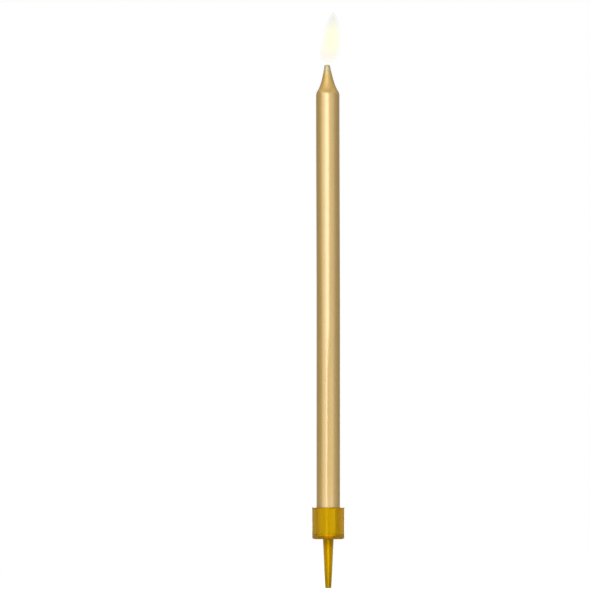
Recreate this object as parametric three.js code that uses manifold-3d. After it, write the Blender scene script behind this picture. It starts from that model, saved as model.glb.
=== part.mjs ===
// A slim gold cake candle, alight, standing in its spiked plastic holder.
// Millimetres, +Z up. The origin is on the candle's axis, at the flat underside of the holder's cup,
// where the top of the cake comes. The spike goes down from it, into the cake, and the candle goes up.
import * as THREE from "three";
import { mergeVertices } from "three/addons/utils/BufferGeometryUtils.js";
import Module from "manifold-3d";

const wasm = await Module();
wasm.setup();

// The candle is a wax rod drawn round a cotton wick and dipped in gold lacquer.
const CANDLE_LENGTH = 127; // from its flat foot to the end of the tip
const CANDLE_DIAMETER = 6.35;
const LACQUER = 0.1; // thickness of the gold skin
const WICK_DIAMETER = 1.1;

// The tip narrows in a hollow curve from the shoulder to a nub, which is the wick under wax and lacquer.
const TIP_HEIGHT = 7.7; // from the shoulder's corner to the end of the tip
const SHOULDER_ROUND = 0.75; // how far the rounding reaches from the corner, each way
const NUB_WAX = 0.17; // wax round the wick in the nub
const BEAD_HEIGHT = 0.5; // wax and lacquer bead over the wick's cut end
const NECK_SPREAD = 0.75; // the curve's two slopes would cross this far outside the nub,
const NECK_DROP = 5.2; // and this far below the end of the tip
const NUB_LEAN = 0.16; // the dipped wick has set a little to one side

// The holder is one moulding: a cup with a flat floor, grip ribs in it, and a spike under it.
const SOCKET_DEPTH = 7.35; // of the candle's foot in the cup
const SOCKET_FLOOR = 1.25; // thickness under the candle
const SOCKET_CLEARANCE = 0.2; // round the candle at the floor, before the mould's draft
const SOCKET_DRAFT = 0.06; // wider at the mouth than at the floor, on the radius
const CUP_WALL = 1.01; // at the mouth
const CUP_DRAFT = 0.03; // narrower at the underside than at the mouth, on the radius
const CUP_CORNER = 0.65; // rounding round the underside
const MOUTH_CHAMFER = 0.2; // lead-in for the candle
const RIM_ROUND = 0.12; // outer edge of the rim
const RIB_COUNT = 4;
const RIB_WIDTH = 0.55;
const RIB_CLEARANCE = 0.04; // from the ribs' crests to the candle
const RIB_LEAD = 1.1; // the ribs start this far below the rim, with a slope
const RIB_SLOPE = 0.5; // height of that slope
const RIB_ROOT = 0.3; // how far a rib is sunk in the wall and the floor it is moulded with
const SPIKE_LENGTH = 13.25; // from the underside to its end
const SPIKE_DIAMETER = 2.88; // at its root
const SPIKE_END_DIAMETER = 1.68;
const SPIKE_CHAMFER = 0.3; // at its end
const SPIKE_FILLET = 0.2; // at its root

// The flame stands over the nub and drifts to one side as it rises.
const FLAME_LENGTH = 14;
const FLAME_DIAMETER = 5.4;
const FLAME_BELLY = 4.8; // height of its widest ring above its base
const FLAME_CLEARANCE = 0.3; // above the nub
const FLAME_DRIFT = 1.5; // sideways at its end

// Fineness of the round surfaces
const ROUND_SEGMENTS = 48;
const CURVE_STEPS = 4; // in a small rounding
const LONG_CURVE_STEPS = 8; // in a long curve

const candleRadius = CANDLE_DIAMETER / 2;
const wickRadius = WICK_DIAMETER / 2;
const nubRadius = wickRadius + NUB_WAX + LACQUER;
const shoulder = CANDLE_LENGTH - TIP_HEIGHT;
const beadFoot = CANDLE_LENGTH - BEAD_HEIGHT;

// Turns a profile of (radius, height) points about Z. The profile starts and ends on the axis.
function turned(profile) {
  return new THREE.LatheGeometry(profile, ROUND_SEGMENTS).rotateX(Math.PI / 2);
}

// Moves each vertex sideways by a function of its height, so that nested pieces bend alike.
function bent(geometry, offsetAt) {
  const position = geometry.getAttribute("position");
  for (let i = 0; i < position.count; i += 1) {
    position.setX(i, position.getX(i) + offsetAt(position.getZ(i)));
  }
  return geometry;
}

// The set of the dipped wick, in the candle's own frame: none at the shoulder, all of it at the end.
function nubSet(height) {
  const share = Math.max(0, height - shoulder) / TIP_HEIGHT;
  return -NUB_LEAN * share ** 2;
}

// Half outline of the candle from its foot to the end of its tip, drawn in by an inset.
// The lacquer's outside has no inset, and the wax under it is drawn in by the lacquer's thickness.
function candleOutline(inset) {
  const body = candleRadius - inset;
  const nub = nubRadius - inset;
  const end = CANDLE_LENGTH - inset;
  const corner = new THREE.Vector2(body, shoulder);
  const neck = new THREE.Vector2(nub + NECK_SPREAD, CANDLE_LENGTH - NECK_DROP);
  const upSlope = neck.clone().sub(corner).setLength(SHOULDER_ROUND).add(corner);
  const rounding = new THREE.QuadraticBezierCurve(
    new THREE.Vector2(body, shoulder - SHOULDER_ROUND),
    corner,
    upSlope,
  );
  const flare = new THREE.QuadraticBezierCurve(upSlope, neck, new THREE.Vector2(nub, beadFoot));
  const bead = new THREE.QuadraticBezierCurve(
    new THREE.Vector2(nub, beadFoot),
    new THREE.Vector2(nub, end),
    new THREE.Vector2(0, end),
  );
  return [
    new THREE.Vector2(body, 0),
    ...rounding.getPoints(CURVE_STEPS),
    ...flare.getPoints(LONG_CURVE_STEPS).slice(1),
    ...bead.getPoints(CURVE_STEPS).slice(1),
  ];
}

// Half outline of the wick from its foot to its cut end, with rings in the tip where it bends.
function wickOutline() {
  const rings = [new THREE.Vector2(wickRadius, 0)];
  for (let step = 0; step <= LONG_CURVE_STEPS; step += 1) {
    const height = THREE.MathUtils.lerp(shoulder, beadFoot, step / LONG_CURVE_STEPS);
    rings.push(new THREE.Vector2(wickRadius, height));
  }
  return rings;
}

// Gold lacquer: a closed skin over the wax rod, its tip and the nub, open at the candle's foot.
function goldLacquer() {
  const inside = candleOutline(LACQUER).reverse();
  return bent(turned([...inside, ...candleOutline(0)]), nubSet);
}

// Wax rod, with the wick's hole from its foot to the bead.
function waxRod() {
  const hole = wickOutline().reverse();
  const holeEnd = new THREE.Vector2(0, beadFoot);
  return bent(turned([holeEnd, ...hole, ...candleOutline(LACQUER)]), nubSet);
}

// Cotton wick, the whole length of the wax.
function wick() {
  const foot = new THREE.Vector2(0, 0);
  const end = new THREE.Vector2(0, beadFoot);
  return bent(turned([foot, ...wickOutline(), end]), nubSet);
}

// Flame: a drop with its base over the nub.
function flame() {
  const widest = FLAME_DIAMETER / 2;
  const base = new THREE.CubicBezierCurve(
    new THREE.Vector2(0, 0),
    new THREE.Vector2(widest * 0.7, 0),
    new THREE.Vector2(widest, FLAME_BELLY * 0.45),
    new THREE.Vector2(widest, FLAME_BELLY),
  );
  const rise = FLAME_LENGTH - FLAME_BELLY;
  const crown = new THREE.CubicBezierCurve(
    new THREE.Vector2(widest, FLAME_BELLY),
    new THREE.Vector2(widest, FLAME_BELLY + rise * 0.37),
    new THREE.Vector2(widest * 0.65, FLAME_BELLY + rise * 0.8),
    new THREE.Vector2(0, FLAME_LENGTH),
  );
  const profile = [...base.getPoints(LONG_CURVE_STEPS), ...crown.getPoints(LONG_CURVE_STEPS).slice(1)];
  return bent(turned(profile), (height) => FLAME_DRIFT * (1 - (1 - height / FLAME_LENGTH) ** 2));
}

const socketFloorRadius = candleRadius + SOCKET_CLEARANCE;
const socketMouthRadius = socketFloorRadius + SOCKET_DRAFT;
const cupRadius = socketMouthRadius + CUP_WALL;
const cupHeight = SOCKET_FLOOR + SOCKET_DEPTH;

// Half outline of the cup and spike: up the outside from the spike's end, over the rim and down the socket.
function holderOutline() {
  const footRadius = cupRadius - CUP_DRAFT;
  const spikeRoot = SPIKE_DIAMETER / 2;
  const spikeEnd = SPIKE_END_DIAMETER / 2;
  const fillet = new THREE.QuadraticBezierCurve(
    new THREE.Vector2(spikeRoot, -SPIKE_FILLET),
    new THREE.Vector2(spikeRoot, 0),
    new THREE.Vector2(spikeRoot + SPIKE_FILLET, 0),
  );
  const corner = new THREE.EllipseCurve(
    footRadius - CUP_CORNER,
    CUP_CORNER,
    CUP_CORNER,
    CUP_CORNER,
    -Math.PI / 2,
    0,
  );
  return [
    new THREE.Vector2(0, -SPIKE_LENGTH),
    new THREE.Vector2(spikeEnd - SPIKE_CHAMFER, -SPIKE_LENGTH),
    new THREE.Vector2(spikeEnd, SPIKE_CHAMFER - SPIKE_LENGTH),
    ...fillet.getPoints(CURVE_STEPS),
    ...corner.getPoints(CURVE_STEPS),
    new THREE.Vector2(cupRadius, cupHeight - RIM_ROUND),
    new THREE.Vector2(cupRadius - RIM_ROUND, cupHeight),
    new THREE.Vector2(socketMouthRadius + MOUTH_CHAMFER, cupHeight),
    new THREE.Vector2(socketMouthRadius, cupHeight - MOUTH_CHAMFER),
    new THREE.Vector2(socketFloorRadius, SOCKET_FLOOR),
    new THREE.Vector2(0, SOCKET_FLOOR),
  ];
}

// One grip rib, standing on the socket's floor against its wall, at an angle about the axis.
function gripRib(angle) {
  const crest = candleRadius + RIB_CLEARANCE;
  const back = socketFloorRadius + RIB_ROOT;
  const top = cupHeight - RIB_LEAD;
  const side = new THREE.Shape([
    new THREE.Vector2(crest, SOCKET_FLOOR - RIB_ROOT),
    new THREE.Vector2(back, SOCKET_FLOOR - RIB_ROOT),
    new THREE.Vector2(back, top),
    new THREE.Vector2(socketMouthRadius, top),
    new THREE.Vector2(crest, top - RIB_SLOPE),
  ]);
  return new THREE.ExtrudeGeometry(side, { depth: RIB_WIDTH, bevelEnabled: false })
    .translate(0, 0, -RIB_WIDTH / 2)
    .rotateX(Math.PI / 2)
    .rotateZ(angle);
}

// A closed geometry as a solid that can be joined to another.
function solidOf(geometry) {
  const bare = geometry.clone().deleteAttribute("normal").deleteAttribute("uv");
  const merged = mergeVertices(bare);
  return new wasm.Manifold(
    new wasm.Mesh({
      numProp: 3,
      vertProperties: merged.getAttribute("position").array,
      triVerts: new Uint32Array(merged.getIndex().array),
    }),
  );
}

// A joined solid as a geometry again.
function geometryOf(solid) {
  const mesh = solid.getMesh();
  const geometry = new THREE.BufferGeometry();
  geometry.setAttribute("position", new THREE.BufferAttribute(mesh.vertProperties, mesh.numProp));
  geometry.setIndex(new THREE.BufferAttribute(mesh.triVerts, 1));
  geometry.computeVertexNormals();
  return geometry;
}

// Holder: cup, spike and grip ribs in one piece.
function holder() {
  let moulding = solidOf(turned(holderOutline()));
  for (let n = 0; n < RIB_COUNT; n += 1) {
    const angle = ((n + 0.5) * 2 * Math.PI) / RIB_COUNT;
    moulding = moulding.add(solidOf(gripRib(angle)));
  }
  return geometryOf(moulding);
}

// A named piece in its own material.
function piece(name, geometry, finish) {
  const mesh = new THREE.Mesh(geometry, new THREE.MeshStandardMaterial(finish));
  mesh.name = name;
  return mesh;
}

const cakeCandle = new THREE.Group();
cakeCandle.add(
  piece("holder", holder(), {
    color: 0xc89a0c,
    roughness: 0.2,
    metalness: 0,
    transparent: true,
    opacity: 0.85,
  }),
);

// The candle stands on the socket's floor and draws out of the cup as one.
const candle = new THREE.Group();
candle.position.z = SOCKET_FLOOR;
candle.add(
  piece("wax_rod", waxRod(), { color: 0xf3ead2, roughness: 0.5, metalness: 0 }),
  piece("gold_lacquer", goldLacquer(), { color: 0xd6b36c, roughness: 0.3, metalness: 1 }),
  piece("wick", wick(), { color: 0xefe6d2, roughness: 0.95, metalness: 0 }),
);

const burning = piece("flame", flame(), {
  color: 0xfff9dc,
  emissive: 0xfff4c4,
  roughness: 1,
  metalness: 0,
  transparent: true,
  opacity: 0.6,
});
burning.position.set(-NUB_LEAN, 0, CANDLE_LENGTH + FLAME_CLEARANCE);
candle.add(burning);
cakeCandle.add(candle);

export default cakeCandle;
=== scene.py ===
"""A slim gold cake candle, alight, in its spiked holder of clear golden plastic.

Outlines and positions are in millimetres, and become metres as each mesh is made.
"""

import math

import bpy
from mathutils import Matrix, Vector


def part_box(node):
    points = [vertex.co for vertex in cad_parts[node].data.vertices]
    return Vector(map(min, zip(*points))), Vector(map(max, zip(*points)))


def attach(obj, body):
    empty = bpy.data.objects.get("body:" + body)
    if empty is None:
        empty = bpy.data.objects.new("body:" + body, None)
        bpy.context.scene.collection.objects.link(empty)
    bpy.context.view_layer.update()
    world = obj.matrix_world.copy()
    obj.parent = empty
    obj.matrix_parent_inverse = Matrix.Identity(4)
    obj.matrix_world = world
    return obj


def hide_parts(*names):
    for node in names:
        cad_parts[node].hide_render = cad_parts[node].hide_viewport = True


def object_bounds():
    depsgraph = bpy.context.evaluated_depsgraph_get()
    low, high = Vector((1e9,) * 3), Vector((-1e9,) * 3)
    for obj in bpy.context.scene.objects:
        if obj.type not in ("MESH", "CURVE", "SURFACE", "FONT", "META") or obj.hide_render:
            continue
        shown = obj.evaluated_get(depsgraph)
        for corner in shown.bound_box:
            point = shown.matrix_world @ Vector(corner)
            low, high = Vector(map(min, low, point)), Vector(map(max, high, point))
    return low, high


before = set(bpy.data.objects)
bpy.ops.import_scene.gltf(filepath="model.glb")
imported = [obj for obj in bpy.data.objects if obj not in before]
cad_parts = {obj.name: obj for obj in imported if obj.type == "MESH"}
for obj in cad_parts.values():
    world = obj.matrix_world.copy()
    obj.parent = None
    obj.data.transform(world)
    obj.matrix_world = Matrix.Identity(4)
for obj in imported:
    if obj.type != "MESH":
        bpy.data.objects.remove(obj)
cad_low, cad_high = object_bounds()

# The camera stands level and looks along +Y from far off, as for a catalogue picture, so that the
# candle's sides stay parallel. Its place follows from where the candle stands in the 590x591 frame.
MM = 0.001
FRAME_WIDTH = 590
FRAME_HEIGHT = 591
PIXEL = 0.2703  # millimetres on the candle's axis
AXIS_COLUMN = 328.3
UNDERSIDE_ROW = 539.1  # the flat underside of the cup, where the origin is
LENS = 1000 * MM
SENSOR = 36 * MM

scene = bpy.context.scene
scene.view_settings.view_transform = "Standard"
camera = bpy.data.objects.new("camera", bpy.data.cameras.new("camera"))
scene.collection.objects.link(camera)
scene.camera = camera
camera.data.lens = LENS / MM
camera.data.sensor_width = SENSOR / MM
camera_x = (FRAME_WIDTH / 2 - AXIS_COLUMN) * PIXEL
camera_z = (UNDERSIDE_ROW - FRAME_HEIGHT / 2) * PIXEL
camera_distance = FRAME_HEIGHT * PIXEL * LENS / SENSOR
camera.location = Vector((camera_x, -camera_distance, camera_z)) * MM
camera.rotation_euler = (math.radians(90), 0, 0)


# The studio is a white room round a white table. The table takes the candle's shadow and fades into
# the room, and soft boxes stand round it, which the gold shows as its bright and dark stripes.
ROOM_AMBIENT = 0.42  # what the room gives to surfaces, where a white background is 1
TABLE_RADIUS = 420
TABLE_FADE = (70, 260)  # from the candle, where the table turns into the room
TABLE_LIFT = 0.45  # keeps the unshadowed table as white as the room
TABLE_IN_MIRRORS = 0.45  # how bright the gold and the plastic show it, against how it is seen


def linear(colour, alpha=1):
    """An sRGB hex colour as linear red, green, blue and alpha."""
    shares = [int(colour[n : n + 2], 16) / 255 for n in (0, 2, 4)]
    return [s / 12.92 if s <= 0.04045 else ((s + 0.055) / 1.055) ** 2.4 for s in shares] + [alpha]


def add_node(tree, kind, sockets=None, **settings):
    """Adds a node. The settings are its properties, and sockets holds a value or another node's
    output for each input."""
    node = tree.nodes.new("ShaderNode" + kind)
    for name, value in settings.items():
        setattr(node, name, value)
    for name, value in (sockets or {}).items():
        if isinstance(value, bpy.types.NodeSocket):
            tree.links.new(value, node.inputs[name])
        else:
            node.inputs[name].default_value = value
    return node


def new_material(name):
    """An empty material, its node tree and its output."""
    material = bpy.data.materials.new(name)
    material.use_nodes = True
    material.node_tree.nodes.clear()
    output = add_node(material.node_tree, "OutputMaterial")
    return material, material.node_tree, output


def shows_background(tree):
    """1 where a surface is seen, straight on, mirrored or through clear plastic, and 0 where it lights."""
    path = add_node(tree, "LightPath")
    seen = add_node(
        tree,
        "Math",
        {0: path.outputs["Is Camera Ray"], 1: path.outputs["Is Glossy Ray"]},
        operation="MAXIMUM",
    )
    also_through = add_node(
        tree, "Math", {0: seen.outputs[0], 1: path.outputs["Is Transmission Ray"]}, operation="MAXIMUM"
    )
    return also_through.outputs[0]


room = bpy.data.worlds.new("white_room")
scene.world = room
room.use_nodes = True
room.node_tree.nodes.clear()
room_level = add_node(
    room.node_tree,
    "MapRange",
    {"Value": shows_background(room.node_tree), "To Min": ROOM_AMBIENT, "To Max": 1},
)
room_light = add_node(
    room.node_tree, "Background", {"Color": linear("ffffff"), "Strength": room_level.outputs[0]}
)
room_output = add_node(room.node_tree, "OutputWorld")
room.node_tree.links.new(room_light.outputs[0], room_output.inputs["Surface"])

table_mesh = bpy.data.meshes.new("table")
table_height = cad_low.z / MM
table_corners = [(-TABLE_RADIUS, -TABLE_RADIUS), (TABLE_RADIUS, -TABLE_RADIUS)]
table_corners += [(TABLE_RADIUS, TABLE_RADIUS), (-TABLE_RADIUS, TABLE_RADIUS)]
table_mesh.from_pydata([Vector((x, y, table_height)) * MM for x, y in table_corners], [], [(0, 1, 2, 3)])
table = bpy.data.objects.new("table", table_mesh)
scene.collection.objects.link(table)

paper, paper_tree, paper_output = new_material("white_table_paper")
paper_place = add_node(paper_tree, "TexCoord")
from_candle = add_node(
    paper_tree,
    "VectorMath",
    {0: paper_place.outputs["Object"], 1: (0, 0, table_height * MM)},
    operation="DISTANCE",
)
table_fade = add_node(
    paper_tree,
    "MapRange",
    {
        "Value": from_candle.outputs["Value"],
        "From Min": TABLE_FADE[0] * MM,
        "From Max": TABLE_FADE[1] * MM,
    },
    interpolation_type="SMOOTHSTEP",
)
seen_table = shows_background(paper_tree)
lift = add_node(paper_tree, "Math", {0: seen_table, 1: TABLE_LIFT}, operation="MULTIPLY")
lifted = add_node(paper_tree, "Emission", {"Strength": lift.outputs[0]})
matt_paper = add_node(paper_tree, "BsdfDiffuse", {"Color": linear("f0f0f0")})
near_table = add_node(paper_tree, "AddShader", {0: matt_paper.outputs[0], 1: lifted.outputs[0]})
far_table = add_node(paper_tree, "Emission", {"Color": linear("ffffff"), "Strength": seen_table})
paper_mix = add_node(
    paper_tree,
    "MixShader",
    {0: table_fade.outputs["Result"], 1: near_table.outputs[0], 2: far_table.outputs[0]},
)
paper_path = add_node(paper_tree, "LightPath")
mirror_share = add_node(
    paper_tree,
    "Math",
    {0: paper_path.outputs["Is Glossy Ray"], 1: 1 - TABLE_IN_MIRRORS},
    operation="MULTIPLY",
)
paper_mirrored = add_node(paper_tree, "MixShader", {0: mirror_share.outputs[0], 1: paper_mix.outputs[0]})

# From below the table is clear, so that it never hides the candle.
paper_side = add_node(paper_tree, "NewGeometry")
paper_clear = add_node(paper_tree, "BsdfTransparent")
paper_shown = add_node(
    paper_tree,
    "MixShader",
    {0: paper_side.outputs["Backfacing"], 1: paper_mirrored.outputs[0], 2: paper_clear.outputs[0]},
)
paper_tree.links.new(paper_shown.outputs[0], paper_output.inputs["Surface"])
table_mesh.materials.append(paper)


def add_soft_box(name, azimuth, distance, centre, width, height, level):
    """A soft box that faces the candle's axis. It lights and is mirrored, but is never seen itself.
    Azimuth 0 is the camera's side and 90 is +X, centre is the height of its middle, and level is its
    brightness, where the white room is 1."""
    lamp = bpy.data.lights.new(name, "AREA")
    lamp.shape = "RECTANGLE"
    lamp.size = width * MM
    lamp.size_y = height * MM
    lamp.energy = math.pi * level * lamp.size * lamp.size_y
    box = bpy.data.objects.new(name, lamp)
    turn = math.radians(azimuth)
    box.location = Vector((math.sin(turn) * distance, -math.cos(turn) * distance, centre)) * MM
    box.rotation_euler = (math.radians(90), 0, turn)
    box.visible_camera = False
    box.visible_transmission = False
    scene.collection.objects.link(box)
    return box


add_soft_box("key", azimuth=-15, distance=400, centre=170, width=680, height=560, level=0.1)
add_soft_box("key_strip", azimuth=-9, distance=380, centre=155, width=180, height=510, level=2.55)
add_soft_box("key_left", azimuth=-42, distance=390, centre=155, width=230, height=510, level=0.4)
add_soft_box("key_high", azimuth=-38, distance=400, centre=340, width=200, height=260, level=0.6)
add_soft_box("low_card", azimuth=37, distance=360, centre=-60, width=150, height=240, level=0.25)
add_soft_box("right_card", azimuth=66, distance=380, centre=40, width=420, height=300, level=0.14)
add_soft_box("low_right_card", azimuth=66, distance=360, centre=-90, width=400, height=240, level=0.2)

# Low cards stand close round the cup, level with it. Most of their light goes to the holder alone, so
# that they don't wash out the gold above the rim. The rest comes from cards just behind them. Each
# has its azimuth, width and level.
CUP_CARDS = ((-40, 60, 1.5), (27, 30, 2.8), (100, 42, 0.3), (180, 42, 1.6), (260, 42, 0.3))
CUP_CARD_DISTANCE = 40
FOOT_CARD_DISTANCE = 41
CUP_CARD_CENTRE = 3.6
CUP_CARD_HEIGHT = 9
FOOT_SHARE = 0.4  # of the cards' light, which the whole candle takes

cup_light = bpy.data.collections.new("cup_light")
for azimuth, width, level in CUP_CARDS:
    shape = (CUP_CARD_CENTRE, width, CUP_CARD_HEIGHT)
    foot_level = level * FOOT_SHARE
    add_soft_box("foot_card_%d" % azimuth, azimuth, FOOT_CARD_DISTANCE, *shape, foot_level)
    cup_card = add_soft_box("cup_card_%d" % azimuth, azimuth, CUP_CARD_DISTANCE, *shape, level - foot_level)
    cup_card.light_linking.receiver_collection = cup_light

add_soft_box("back_box", azimuth=205, distance=420, centre=110, width=260, height=380, level=0.9)
add_soft_box("back_strip", azimuth=170, distance=400, centre=110, width=150, height=420, level=2)
FILL_TILT = 50  # from straight down
fill = add_soft_box("fill", azimuth=30, distance=300, centre=330, width=300, height=300, level=2.2)
fill.rotation_euler.x = math.radians(FILL_TILT)
fill.visible_glossy = False


def add_flag(name, azimuth, width, colour, distance=380, centre=90, height=560, lying=False):
    """A grey card beside or over the candle. It is a painted grey glow in place of a lit matt card. It
    gives the gold and the clear plastic a darker side, and is neither seen itself nor shades anything."""
    turn = math.radians(azimuth)
    across = Vector((math.cos(turn), math.sin(turn), 0)) * width / 2
    middle = Vector((math.sin(turn) * distance, -math.cos(turn) * distance, centre))
    up = Vector((-math.sin(turn), math.cos(turn), 0) if lying else (0, 0, 1)) * height / 2
    corners = [middle - across - up, middle + across - up, middle + across + up, middle - across + up]
    mesh = bpy.data.meshes.new(name)
    mesh.from_pydata([corner * MM for corner in corners], [], [(0, 1, 2, 3)])
    card, card_tree, card_output = new_material(name + "_grey_card")
    card_shader = add_node(card_tree, "Emission", {"Color": linear(colour)})
    card_tree.links.new(card_shader.outputs[0], card_output.inputs["Surface"])
    mesh.materials.append(card)
    flag = bpy.data.objects.new(name, mesh)
    scene.collection.objects.link(flag)
    flag.visible_camera = False
    flag.visible_diffuse = False
    flag.visible_shadow = False
    return flag


add_flag("flag_left", azimuth=-106, width=560, colour="a4a4a4")
add_flag("flag_right", azimuth=100, width=560, colour="aaaaaa")

# The two at the back are seen through the plastic, as its darker sides, and nothing mirrors them.
flag_back_left = add_flag("flag_back_left", azimuth=-143, width=400, colour="808080")
flag_back_left.visible_glossy = False
flag_back_right = add_flag("flag_back_right", azimuth=143, width=400, colour="989898")
flag_back_right.visible_glossy = False
add_flag("flag_above", 0, width=600, colour="989898", distance=270, centre=520, height=330, lying=True)

# The edge cards do the reverse: the gold mirrors them at its edges, and they don't show through plastic.
for side, azimuth in (("left", -150), ("right", 150)):
    edge_card = add_flag("edge_card_" + side, azimuth, width=330, colour="b4b4b4")
    edge_card.visible_transmission = False


# The holder is one injection moulding in clear golden polystyrene. Its cup has a flat floor and four
# grip ribs down the inside, which bite the candle, and its tapered spike goes into the cake.
CUP_WALL = 1.01
CUP_DRAFT = 0.03
CUP_CORNER = 0.65
RIM_ROUND = 0.12
SOCKET_DRAFT = 0.06
MOUTH_CHAMFER = 0.2
FLOOR_ROUND = 0.14
RIB_COUNT = 4
RIB_WIDTH = 0.55
RIB_CREST = 3.215  # radius to the ribs' crests
RIB_TOP = 1.1  # below the rim
RIB_SLOPE = 0.5
RIB_EDGE = 0.06  # rounding of a rib's edges
SINK_DEPTH = 0.014  # the wall shrinks in a little opposite a rib as it cools
SINK_TOP = (7, 8)  # where the sink fades out under the rim
SPIKE_RADIUS = 1.44
SPIKE_END_RADIUS = 0.84
SPIKE_CHAMFER = 0.3
SPIKE_FILLET = 0.2
QUARTER_CIRCLE = 0.552  # how far a Bezier curve's inner controls go towards the corner it rounds
HOLDER_SEGMENTS = 288

holder_low, holder_high = [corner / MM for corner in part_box("holder")]
cup_height = holder_high.z
cup_radius = holder_high.x
socket_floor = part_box("wax_rod")[0].z / MM
mouth_radius = cup_radius - CUP_WALL
socket_radius = mouth_radius - SOCKET_DRAFT


def curve(controls, steps):
    """Points along the Bezier curve of these control points, with both ends. Two give a straight."""
    points = []
    for step in range(steps + 1):
        share = step / steps
        level = controls
        while len(level) > 1:
            pairs = zip(level, level[1:])
            level = [tuple(a + (b - a) * share for a, b in zip(p, q)) for p, q in pairs]
        points.append(tuple(level[0]))
    return points


def joined(*stretches):
    """One outline from stretches that follow each other, with their shared ends once."""
    points = []
    for stretch in stretches:
        points += [p for p in stretch if not points or math.dist(p, points[-1]) > 1e-6]
    return points


def smooth(low, high, value):
    """0 below low, 1 above high and a smooth rise between them."""
    share = min(1, max(0, (value - low) / (high - low)))
    return share * share * (3 - 2 * share)


def new_piece(name, points, faces):
    """A smooth mesh object from points in millimetres."""
    mesh = bpy.data.meshes.new(name)
    mesh.from_pydata([Vector(p) * MM for p in points], [], faces)
    mesh.validate()
    for face in mesh.polygons:
        face.use_smooth = True
    piece = bpy.data.objects.new(name, mesh)
    scene.collection.objects.link(piece)
    return piece


def turned(profile, segments, place):
    """Points and faces of a closed shape turned round Z. The profile's (radius, height) points start
    and end on the axis, and place puts each point from its radius, height and angle."""
    rings = profile[1:-1]
    points = [place(0, profile[0][1], 0)]
    for radius, height in rings:
        points += [place(radius, height, 2 * math.pi * n / segments) for n in range(segments)]
    points.append(place(0, profile[-1][1], 0))
    faces = []
    last_ring = 1 + (len(rings) - 1) * segments
    for n in range(segments):
        after = (n + 1) % segments
        faces.append((0, 1 + after, 1 + n))
        for ring in range(1, last_ring, segments):
            above = ring + segments
            faces.append((ring + n, ring + after, above + after, above + n))
        faces.append((last_ring + n, last_ring + after, len(points) - 1))
    return points, faces


def rib_share(angle, radius):
    """1 on a rib's crest, 0 beside it."""
    spacing = 2 * math.pi / RIB_COUNT
    from_rib = abs((angle % spacing) - spacing / 2)
    return 1 - smooth(RIB_WIDTH / 2 - RIB_EDGE, RIB_WIDTH / 2 + RIB_EDGE, from_rib * radius)


def place_holder(radius, height, angle):
    """The socket's wall is drawn in at the ribs, and the cup's outside has a faint sink behind each."""
    rib = rib_share(angle, socket_radius) if height >= socket_floor else 0
    if radius < mouth_radius + MOUTH_CHAMFER:
        top = cup_height - RIB_TOP
        reach = 1 - smooth(top - RIB_SLOPE, top, height)
        radius -= max(0, radius - RIB_CREST) * rib * reach
    elif height < cup_height - RIM_ROUND:
        middle = smooth(CUP_CORNER, 2 * CUP_CORNER, height) * (1 - smooth(*SINK_TOP, height))
        radius -= SINK_DEPTH * rib * middle
    return radius * math.cos(angle), radius * math.sin(angle), height


def holder_outline():
    """From the spike's end up the outside, over the rim and down the socket to the middle of its floor."""
    foot_radius = cup_radius - CUP_DRAFT
    end = holder_low.z
    inner = CUP_CORNER * (1 - QUARTER_CIRCLE)
    arc = [
        (foot_radius - CUP_CORNER, 0),
        (foot_radius - inner, 0),
        (foot_radius, inner),
        (foot_radius, CUP_CORNER),
    ]
    chamfer_foot = (mouth_radius, cup_height - MOUTH_CHAMFER)
    return joined(
        curve([(0, end), (SPIKE_END_RADIUS - SPIKE_CHAMFER, end)], 3),
        curve(
            [
                (SPIKE_END_RADIUS - SPIKE_CHAMFER, end),
                (SPIKE_END_RADIUS, end),
                (SPIKE_END_RADIUS, end + SPIKE_CHAMFER),
            ],
            5,
        ),
        curve([(SPIKE_END_RADIUS, end + SPIKE_CHAMFER), (SPIKE_RADIUS, -SPIKE_FILLET)], 30),
        curve([(SPIKE_RADIUS, -SPIKE_FILLET), (SPIKE_RADIUS, 0), (SPIKE_RADIUS + SPIKE_FILLET, 0)], 5),
        curve([(SPIKE_RADIUS + SPIKE_FILLET, 0), arc[0]], 5),
        curve(arc, 8),
        curve([arc[-1], (cup_radius, cup_height - RIM_ROUND)], 26),
        curve(
            [
                (cup_radius, cup_height - RIM_ROUND),
                (cup_radius, cup_height),
                (cup_radius - RIM_ROUND, cup_height),
            ],
            4,
        ),
        curve([(cup_radius - RIM_ROUND, cup_height), (mouth_radius + MOUTH_CHAMFER, cup_height)], 4),
        curve([(mouth_radius + MOUTH_CHAMFER, cup_height), chamfer_foot], 4),
        curve([chamfer_foot, (socket_radius, socket_floor + FLOOR_ROUND)], 34),
        curve(
            [
                (socket_radius, socket_floor + FLOOR_ROUND),
                (socket_radius, socket_floor),
                (socket_radius - FLOOR_ROUND, socket_floor),
            ],
            4,
        ),
        curve([(socket_radius - FLOOR_ROUND, socket_floor), (0, socket_floor)], 6),
    )


holder = new_piece("moulded_holder", *turned(holder_outline(), HOLDER_SEGMENTS, place_holder))
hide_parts("holder")
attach(holder, "holder")
cup_light.objects.link(holder)

# Tinted clear polystyrene: a bright gloss from the polished mould, and faint streaks where the melt
# flowed up the wall. Painted shade darkens the colour down the spike, and a painted shadow of the
# cup darkens it where the spike runs into the floor. The gloss is tinted as well, which stands for
# the light that comes back out of the thin wall.
FLOW_WIDTH = 0.9
FLOW_LENGTH = 4
POLISH_GRAIN = 0.35
POLISH_DEPTH = 0.004
SPIKE_SHADE_START = -5  # painted shade darkens the spike from here to its end
SPIKE_SHADE = 0.88
SPIKE_END_SHADE = 0.6
# a painted shadow of the cup darkens the spike's root between these heights
ROOT_SHADOW_SPAN = (-2.8, -0.6)
ROOT_SHADE = 0.74
ROOT_SHADOW_TOP = 1.7  # above the underside, where the painted shadow at the root has gone

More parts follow.
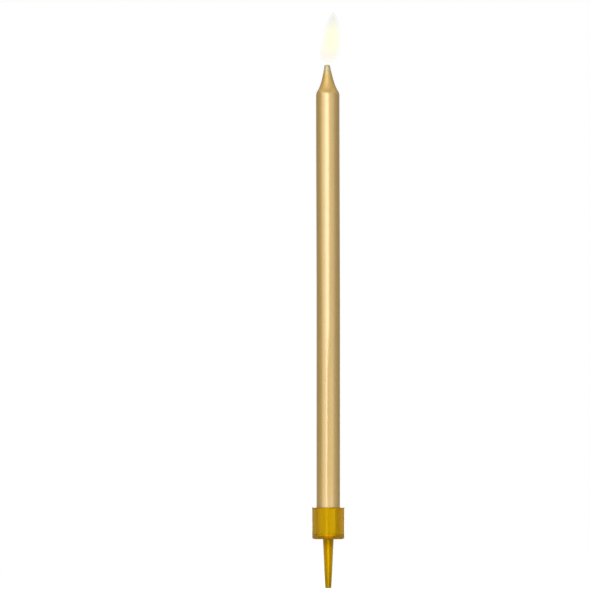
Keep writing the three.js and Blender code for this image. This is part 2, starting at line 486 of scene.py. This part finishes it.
plastic, plastic_tree, plastic_output = new_material("clear_golden_polystyrene_moulded")
plastic_place = add_node(plastic_tree, "TexCoord")
flow_space = add_node(
    plastic_tree,
    "VectorMath",
    {
        0: plastic_place.outputs["Object"],
        1: (1 / (FLOW_WIDTH * MM), 1 / (FLOW_WIDTH * MM), 1 / (FLOW_LENGTH * MM)),
    },
    operation="MULTIPLY",
)
flow = add_node(plastic_tree, "TexNoise", {"Vector": flow_space.outputs[0], "Scale": 1, "Detail": 3})
flow_colour = add_node(
    plastic_tree,
    "MixRGB",
    {"Fac": flow.outputs["Fac"], "Color1": linear("fac206"), "Color2": linear("ffe216")},
)
spike_height = add_node(plastic_tree, "SeparateXYZ", {0: plastic_place.outputs["Object"]})
# Painted shade: the spike's colour is darker towards its end, where it is less lit.
spike_painted_shade = add_node(
    plastic_tree,
    "MapRange",
    {
        "Value": spike_height.outputs["Z"],
        "From Min": holder_low.z * MM,
        "From Max": SPIKE_SHADE_START * MM,
        "To Min": SPIKE_END_SHADE,
        "To Max": SPIKE_SHADE,
    },
    interpolation_type="SMOOTHSTEP",
)
# Painted shadow of the cup: the colour darkens at the spike's root and fades out into the floor.
root_painted_shadow = add_node(
    plastic_tree,
    "MapRange",
    {
        "Value": spike_height.outputs["Z"],
        "From Min": ROOT_SHADOW_SPAN[0] * MM,
        "From Max": ROOT_SHADOW_SPAN[1] * MM,
        "To Min": 1,
        "To Max": ROOT_SHADE,
    },
    interpolation_type="SMOOTHSTEP",
)
shadow_clears_in_cup = add_node(
    plastic_tree,
    "MapRange",
    {"Value": spike_height.outputs["Z"], "From Max": ROOT_SHADOW_TOP * MM},
)
upper_painted_shadow = add_node(
    plastic_tree,
    "Math",
    {0: root_painted_shadow.outputs[0], 1: shadow_clears_in_cup.outputs[0]},
    operation="MAXIMUM",
)
# depth is the painted shade and the painted shadow together, which darken the flow colour.
depth = add_node(
    plastic_tree,
    "Math",
    {0: spike_painted_shade.outputs[0], 1: upper_painted_shadow.outputs[0]},
    operation="MULTIPLY",
)
shaded_flow_colour = add_node(
    plastic_tree,
    "VectorMath",
    {0: flow_colour.outputs[0], "Scale": depth.outputs[0]},
    operation="SCALE",
)
mould_polish = add_node(
    plastic_tree,
    "TexNoise",
    {"Vector": plastic_place.outputs["Object"], "Scale": 1 / (POLISH_GRAIN * MM), "Detail": 3},
)
polish_bump = add_node(
    plastic_tree, "Bump", {"Height": mould_polish.outputs["Fac"], "Distance": POLISH_DEPTH * MM}
)
plastic_shader = add_node(
    plastic_tree,
    "BsdfPrincipled",
    {
        "Base Color": shaded_flow_colour.outputs[0],
        "Roughness": 0.06,
        "IOR": 1.59,
        "Specular Tint": (1, 0.72, 0.01, 1),
        "Transmission Weight": 0.78,
        "Normal": polish_bump.outputs[0],
    },
)
plastic_tree.links.new(plastic_shader.outputs[0], plastic_output.inputs["Surface"])

# The tint runs through the plastic, and a wall of it takes out most of the blue.
plastic_depth = add_node(
    plastic_tree, "VolumeAbsorption", {"Color": linear("fef600"), "Density": 1.8 / MM}
)
plastic_tree.links.new(plastic_depth.outputs[0], plastic_output.inputs["Volume"])
holder.data.materials.append(plastic)


# The candle is a rod of paraffin wax, drawn round its wick and cut square at the foot. Its other end
# is shaped to a hollow-curved tip. The wax shows only at the foot, where the lacquer ends.
CANDLE_RADIUS = 3.175
LACQUER = 0.1
TIP_HEIGHT = 7.7
SHOULDER_ROUND = 0.75
NECK_SPREAD = 0.75
NECK_DROP = 5.2
BEAD_HEIGHT = 0.5
NUB_RADIUS = 0.82
NUB_LEAN = 0.16
WICK_HOLE = 0.55
WAX_SEGMENTS = 240
BOW = 0.16  # how far the rod's upper end has bowed to -X
BOW_RISE = (55, 125)  # above the foot, where the bow comes in
FLAT_TURN = math.radians(-81)  # which side of the rod lay on the tray
FLAT_HALF = math.radians(14)  # half the flat's width, seen from the axis
FLAT_FADE = (40, 58)  # above the foot, where the flat runs out
FLAT_CORE = 0.8  # share of the radius that the flat doesn't reach
CUT_DEPTH = 0.012  # of the knife's drag lines
CUT_SPACING = 0.11
CUT_TURN = 0.6

candle_foot = socket_floor
candle_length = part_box("gold_lacquer")[1].z / MM - candle_foot
shoulder = candle_length - TIP_HEIGHT
bead_foot = candle_length - BEAD_HEIGHT


def candle_outline(inset, body_steps, tip_steps):
    """From the foot to the end of the tip, drawn in by an inset. Heights are above the candle's foot."""
    body = CANDLE_RADIUS - inset
    nub = NUB_RADIUS - inset
    end = candle_length - inset
    corner = Vector((body, shoulder))
    neck = Vector((nub + NECK_SPREAD, candle_length - NECK_DROP))
    up_slope = tuple(corner + (neck - corner).normalized() * SHOULDER_ROUND)
    round_foot = (body, shoulder - SHOULDER_ROUND)
    return joined(
        curve([(body, 0), round_foot], body_steps),
        curve([round_foot, tuple(corner), up_slope], max(4, tip_steps // 6)),
        curve([up_slope, tuple(neck), (nub, bead_foot)], tip_steps),
        curve([(nub, bead_foot), (nub, end), (0, end)], max(4, tip_steps // 6)),
    )


def nub_set(height):
    """How far the rod has bowed and its tip leans to -X at this height."""
    lean = NUB_LEAN * (max(0, height - shoulder) / TIP_HEIGHT) ** 2
    return -BOW * smooth(*BOW_RISE, height) - lean


def flattened(radius, height, angle):
    """The radius, drawn in on the flat that the lower half took from the tray as the wax set."""
    from_flat = abs((angle - FLAT_TURN + math.pi) % (2 * math.pi) - math.pi)
    chord = math.cos(FLAT_HALF) / math.cos(min(from_flat, FLAT_HALF))
    fade = 1 - smooth(*FLAT_FADE, height)
    return radius * (1 - (1 - chord) * fade * smooth(FLAT_CORE, 1, radius / CANDLE_RADIUS))


def place_wax(radius, height, angle):
    """The cut foot has the shallow drag lines of the knife."""
    radius = flattened(radius, height, angle)
    across_cut = radius * math.sin(angle + CUT_TURN)
    drag = CUT_DEPTH * (1 + math.sin(across_cut / CUT_SPACING)) if height < CUT_DEPTH else 0
    x = radius * math.cos(angle) + nub_set(height)
    return x, radius * math.sin(angle), candle_foot + height + drag


hole_wall = curve([(WICK_HOLE, bead_foot), (WICK_HOLE, shoulder)], 8)
hole_wall = joined([(0, bead_foot)], hole_wall, curve([(WICK_HOLE, shoulder), (WICK_HOLE, 0)], 4))
wax_foot = curve([(WICK_HOLE, 0), (CANDLE_RADIUS - LACQUER, 0)], 14)
wax_profile = joined(hole_wall, wax_foot, candle_outline(LACQUER, 24, 24))
wax_rod = new_piece("cut_wax_rod", *turned(wax_profile, WAX_SEGMENTS, place_wax))
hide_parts("wax_rod")
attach(wax_rod, "candle")

# Paraffin wax: milky and slightly see-through, with a dull cut face and a faint mottle.
WAX_MOTTLE = 0.8
WAX_PITTING = 0.02

wax, wax_tree, wax_output = new_material("paraffin_wax_knife_cut")
wax_place = add_node(wax_tree, "TexCoord")
mottle = add_node(
    wax_tree,
    "TexNoise",
    {"Vector": wax_place.outputs["Object"], "Scale": 1 / (WAX_MOTTLE * MM), "Detail": 4},
)
wax_colour = add_node(
    wax_tree,
    "MixRGB",
    {"Fac": mottle.outputs["Fac"], "Color1": linear("e8dcbd"), "Color2": linear("f7f0dd")},
)
wax_bump = add_node(
    wax_tree, "Bump", {"Height": mottle.outputs["Fac"], "Distance": WAX_PITTING * MM}
)
wax_shader = add_node(
    wax_tree,
    "BsdfPrincipled",
    {
        "Base Color": wax_colour.outputs[0],
        "Roughness": 0.48,
        "IOR": 1.44,
        "Subsurface Weight": 0.4,
        "Subsurface Radius": (1.2 * MM, 0.9 * MM, 0.6 * MM),
        "Subsurface Scale": 1,
        "Normal": wax_bump.outputs[0],
    },
)
wax_tree.links.new(wax_shader.outputs[0], wax_output.inputs["Surface"])
wax_rod.data.materials.append(wax)


# The wick is cotton cord of three plies twisted together, soaked in wax. It runs the whole length of
# the rod and ends in the nub, and its cut plies show in the middle of the foot.
PLIES = 3
PLY_RADIUS = 0.25
PLY_OFFSET = 0.29  # from the wick's middle to a ply's
TWIST_PITCH = 3.6
RINGS_PER_TURN = 14
PLY_SIDES = 10


def twisted_wick():
    """Three plies, each a closed round strand along a helix."""
    points = []
    faces = []
    rings = round(bead_foot / TWIST_PITCH * RINGS_PER_TURN)
    for ply in range(PLIES):
        first = len(points)
        for ring in range(rings + 1):
            height = bead_foot * ring / rings
            turn = 2 * math.pi * (ply / PLIES + height / TWIST_PITCH)
            middle_x = PLY_OFFSET * math.cos(turn) + nub_set(height)
            middle_y = PLY_OFFSET * math.sin(turn)
            for side in range(PLY_SIDES):
                around = 2 * math.pi * side / PLY_SIDES
                x = middle_x + PLY_RADIUS * math.cos(around)
                y = middle_y + PLY_RADIUS * math.sin(around)
                points.append((x, y, candle_foot + height))
        for ring in range(rings):
            for side in range(PLY_SIDES):
                here = first + ring * PLY_SIDES
                after = (side + 1) % PLY_SIDES
                above = here + PLY_SIDES
                faces.append((here + side, here + after, above + after, above + side))
        faces.append(tuple(first + side for side in reversed(range(PLY_SIDES))))
        faces.append(tuple(first + rings * PLY_SIDES + side for side in range(PLY_SIDES)))
    return points, faces


wick = new_piece("twisted_wick_cord", *twisted_wick())
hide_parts("wick")
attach(wick, "candle")

# Cotton yarn: matt and a little fuzzy from its fine threads. They are drawn coarser, so that they show.
THREAD_SPACING = 0.377
WAVE_LENGTH = math.pi / 10  # of the wave texture at scale 1

cotton, cotton_tree, cotton_output = new_material("cotton_yarn_twisted_waxed")
cotton_place = add_node(cotton_tree, "TexCoord")
threads = add_node(
    cotton_tree,
    "TexWave",
    {
        "Vector": cotton_place.outputs["Object"],
        "Scale": WAVE_LENGTH / (THREAD_SPACING * MM),
        "Distortion": 3,
        "Detail": 2,
    },
)
cotton_colour = add_node(
    cotton_tree,
    "MixRGB",
    {"Fac": threads.outputs["Fac"], "Color1": linear("d9cba9"), "Color2": linear("f3ead4")},
)
cotton_bump = add_node(cotton_tree, "Bump", {"Height": threads.outputs["Fac"], "Distance": 0.03 * MM})
cotton_shader = add_node(
    cotton_tree,
    "BsdfPrincipled",
    {
        "Base Color": cotton_colour.outputs[0],
        "Roughness": 0.85,
        "Sheen Weight": 0.3,
        "Normal": cotton_bump.outputs[0],
    },
)
cotton_tree.links.new(cotton_shader.outputs[0], cotton_output.inputs["Surface"])
wick.data.materials.append(cotton)


# The gold skin is lacquer with bronze flakes, dipped over the rod from the tip down and left to drip.
# It covers the wick's end in a lobed bead, ripples along the body and ends at the foot in a thin edge.
SKIN_SEGMENTS = 240
DRIP_WAVES = ((3, 0.010, 0.4, 61), (5, 0.010, 2.1, 43), (8, 0.006, 4.4, 71), (13, 0.003, 1.3, 29))
WAVE_FOOT = (0.3, 2)  # above the foot, where the waves come in
WAVE_END = (0.5, 3)  # above the shoulder, where they run out
PLY_LOBES = 0.03  # how far the wick's plies stand out under the skin at the nub
LOBE_RISE = (3.4, 0.9)  # below the end, where they come out of the wax
DRAG_LINES = 24  # spiral marks round the tip
DRAG_DEPTH = 0.008
DRAG_PITCH = 20.6
DRAG_SIDE = math.radians(215)  # where they are deepest
DRAG_START = 1  # the reach of their fade either side of the shoulder
DRAG_END = 3  # the reach of their fade under the nub

inner_skin = candle_outline(LACQUER, 24, 24)
outer_skin = candle_outline(0, 160, 72)
outer_points = set(outer_skin)


def place_skin(radius, height, angle):
    """The outside has long drip waves down the body, drag lines round the tip and lobes at the nub."""
    outside = (radius, height) in outer_points
    wave = 0
    if outside:
        for count, depth, start, length in DRIP_WAVES:
            wave += depth * math.cos(count * angle + start + math.sin(height / length + start))
        wave *= smooth(*WAVE_FOOT, height)
        wave *= 1 - smooth(shoulder + WAVE_END[0], shoulder + WAVE_END[1], height)
        on_tip = smooth(shoulder - DRAG_START, shoulder + DRAG_START, height)
        on_tip *= 1 - smooth(bead_foot - DRAG_END, bead_foot, height)
        patch = 0.5 + 0.5 * math.cos(angle - DRAG_SIDE)
        drag = math.cos(DRAG_LINES * (angle + 2 * math.pi * height / DRAG_PITCH))
        wave += DRAG_DEPTH * on_tip * patch * drag
        lobes = smooth(candle_length - LOBE_RISE[0], candle_length - LOBE_RISE[1], height)
        lobe_turn = PLIES * (angle - 2 * math.pi * height / TWIST_PITCH)
        wave += PLY_LOBES * lobes * (math.cos(lobe_turn) - 1) * min(1, radius / NUB_RADIUS)
    radius = flattened(radius, height, angle) + wave
    return radius * math.cos(angle) + nub_set(height), radius * math.sin(angle), candle_foot + height


skin_profile = joined(list(reversed(inner_skin)), outer_skin)
gold_lacquer = new_piece("dipped_gold_skin", *turned(skin_profile, SKIN_SEGMENTS, place_skin))
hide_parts("gold_lacquer")
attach(gold_lacquer, "candle")

# Gold bronze lacquer: flat metal flakes in clear lacquer, so the gold is broad and soft and darkens
# where the flakes lie edge on. The top flakes lie in the clear coat like a mirror and raise its index.
# The body is glossy. The tip, which drains first, has a thin dull film that pales over the nub.
GLOSS_LINE = shoulder + 0.4  # where the glossy body ends, above the candle's foot
FINISHES = (("gold_bronze_lacquer_dipped", 0.27, 2.35), ("gold_bronze_lacquer_thin_on_tip", 0.5, 2.05))
STREAK_WIDTH = 1.3
STREAK_LENGTH = 14
NUB_PALES = (3.6, 0.6)  # below the end
FLAKE = 0.12  # across a flake, drawn several times as coarse as the real ones

for finish, coat_roughness, coat_index in FINISHES:
    lacquer, lacquer_tree, lacquer_output = new_material(finish)
    lacquer_place = add_node(lacquer_tree, "TexCoord")
    streak_space = add_node(
        lacquer_tree,
        "VectorMath",
        {
            0: lacquer_place.outputs["Object"],
            1: (1 / (STREAK_WIDTH * MM), 1 / (STREAK_WIDTH * MM), 1 / (STREAK_LENGTH * MM)),
        },
        operation="MULTIPLY",
    )
    streaks = add_node(
        lacquer_tree, "TexNoise", {"Vector": streak_space.outputs[0], "Scale": 1, "Detail": 3}
    )
    film_colour = add_node(
        lacquer_tree,
        "MixRGB",
        {"Fac": streaks.outputs["Fac"], "Color1": linear("cba537"), "Color2": linear("d6b045")},
    )
    lacquer_height = add_node(lacquer_tree, "SeparateXYZ", {0: lacquer_place.outputs["Object"]})
    thin_film = add_node(
        lacquer_tree,
        "MapRange",
        {
            "Value": lacquer_height.outputs["Z"],
            "From Min": (candle_foot + candle_length - NUB_PALES[0]) * MM,
            "From Max": (candle_foot + candle_length - NUB_PALES[1]) * MM,
        },
        interpolation_type="SMOOTHSTEP",
    )
    nub_colour = add_node(
        lacquer_tree,
        "MixRGB",
        {"Fac": thin_film.outputs[0], "Color1": film_colour.outputs[0], "Color2": linear("c6b57c")},
    )
    flakes = add_node(
        lacquer_tree, "TexVoronoi", {"Vector": lacquer_place.outputs["Object"], "Scale": 1 / (FLAKE * MM)}
    )
    flake_value = add_node(
        lacquer_tree, "MapRange", {"Value": flakes.outputs["Color"], "To Min": 0.9, "To Max": 1.08}
    )
    flake_colour = add_node(
        lacquer_tree,
        "VectorMath",
        {0: nub_colour.outputs[0], "Scale": flake_value.outputs[0]},
        operation="SCALE",
    )
    lacquer_shader = add_node(
        lacquer_tree,
        "BsdfPrincipled",
        {
            "Base Color": flake_colour.outputs[0],
            "Metallic": 1,
            "Roughness": 0.62,
            "Specular Tint": (0.44, 0.37, 0.22, 1),
            "Coat Weight": 1,
            "Coat Roughness": coat_roughness,
            "Coat IOR": coat_index,
        },
    )
    lacquer_tree.links.new(lacquer_shader.outputs[0], lacquer_output.inputs["Surface"])
    gold_lacquer.data.materials.append(lacquer)

for face in gold_lacquer.data.polygons:
    face.material_index = int(face.center.z > (candle_foot + GLOSS_LINE) * MM)


# The flame is burning wax vapour over the nub: a pale yellow body inside a thin, dim veil, drawn up
# to a point that drifts to one side. It glows and hides little of what is behind it.
FLAME_BELLY = 4.8
FLAME_DRIFT = 1.5
FLAME_SEGMENTS = 96
FLAME_BASE_GLOW = "fff2e0"
FLAME_TOP_GLOW = "dcdcd0"
BASE_GLOW_REACH = 1  # above the flame's base, where a zone's own glow starts to come in
BASE_FADE_REACH = 3  # above the flame's base, where it has its full density
BASE_DENSITY = 0.3  # at the base, as a share of the full density
TOP_GLOW_START = 0.6  # share of the flame's length

# Each zone has its width as a share of the flame's, its lift off the base, its glow and its density.
FLAME_ZONES = (
    ("flame_veil", 1.0, 0.0, "fffff0", 0.16),
    ("flame_body", 0.84, 0.15, "ffffd4", 0.17),
    ("flame_core", 0.64, 0.5, "ffffac", 0.15),
)

flame_low, flame_high = [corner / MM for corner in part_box("flame")]
flame_length = flame_high.z - flame_low.z
flame_radius = (flame_high.y - flame_low.y) / 2


def place_flame(radius, height, angle):
    """The flame leans further to +X as it rises."""
    share = height / flame_length
    x = radius * math.cos(angle) - NUB_LEAN + FLAME_DRIFT * (1 - (1 - share) ** 2)
    return x, radius * math.sin(angle), flame_low.z + height


def flame_outline(scale, lift):
    """A zone of the flame, narrowed by a scale and lifted off the base. It has a blunt base, a belly and
    a long point."""
    widest = flame_radius * scale
    top = flame_length * (0.5 + scale / 2)
    belly = FLAME_BELLY
    rise = top - belly
    base = [(0, lift), (widest * 0.95, lift), (widest, belly * 0.3 + lift * 0.7), (widest, belly)]
    crown = [(widest, belly), (widest, belly + rise * 0.37), (widest * 0.65, belly + rise * 0.8), (0, top)]
    return joined(curve(base, 24), curve(crown, 40))


for zone, scale, lift, glow, density in FLAME_ZONES:
    flame = new_piece(zone, *turned(flame_outline(scale, lift), FLAME_SEGMENTS, place_flame))
    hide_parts("flame")
    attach(flame, "candle")
    gas, gas_tree, gas_output = new_material("burning_wax_vapour_" + zone)
    gas_place = add_node(gas_tree, "TexCoord")
    gas_height = add_node(gas_tree, "SeparateXYZ", {0: gas_place.outputs["Object"]})
    gas_base = add_node(
        gas_tree,
        "MapRange",
        {
            "Value": gas_height.outputs["Z"],
            "From Min": (flame_low.z + BASE_GLOW_REACH) * MM,
            "From Max": (flame_low.z + FLAME_BELLY) * MM,
        },
        interpolation_type="SMOOTHSTEP",
    )
    gas_top = add_node(
        gas_tree,
        "MapRange",
        {
            "Value": gas_height.outputs["Z"],
            "From Min": (flame_low.z + TOP_GLOW_START * flame_length) * MM,
            "From Max": flame_high.z * MM,
        },
        interpolation_type="SMOOTHSTEP",
    )
    warm = add_node(
        gas_tree,
        "MixRGB",
        {"Fac": gas_base.outputs[0], "Color1": linear(FLAME_BASE_GLOW), "Color2": linear(glow)},
    )
    dim = add_node(
        gas_tree,
        "MixRGB",
        {"Fac": gas_top.outputs[0], "Color1": warm.outputs[0], "Color2": linear(FLAME_TOP_GLOW)},
    )
    gas_fade = add_node(
        gas_tree,
        "MapRange",
        {
            "Value": gas_height.outputs["Z"],
            "From Min": flame_low.z * MM,
            "From Max": (flame_low.z + BASE_FADE_REACH) * MM,
            "To Min": density * BASE_DENSITY,
            "To Max": density,
        },
        interpolation_type="SMOOTHSTEP",
    )
    gas_shader = add_node(
        gas_tree,
        "BsdfPrincipled",
        {
            "Base Color": (0, 0, 0, 1),
            "Roughness": 1,
            "Specular IOR Level": 0,
            "Emission Color": dim.outputs[0],
            "Emission Strength": 1,
            "Alpha": gas_fade.outputs[0],
        },
    )
    gas_tree.links.new(gas_shader.outputs[0], gas_output.inputs["Surface"])
    flame.data.materials.append(gas)
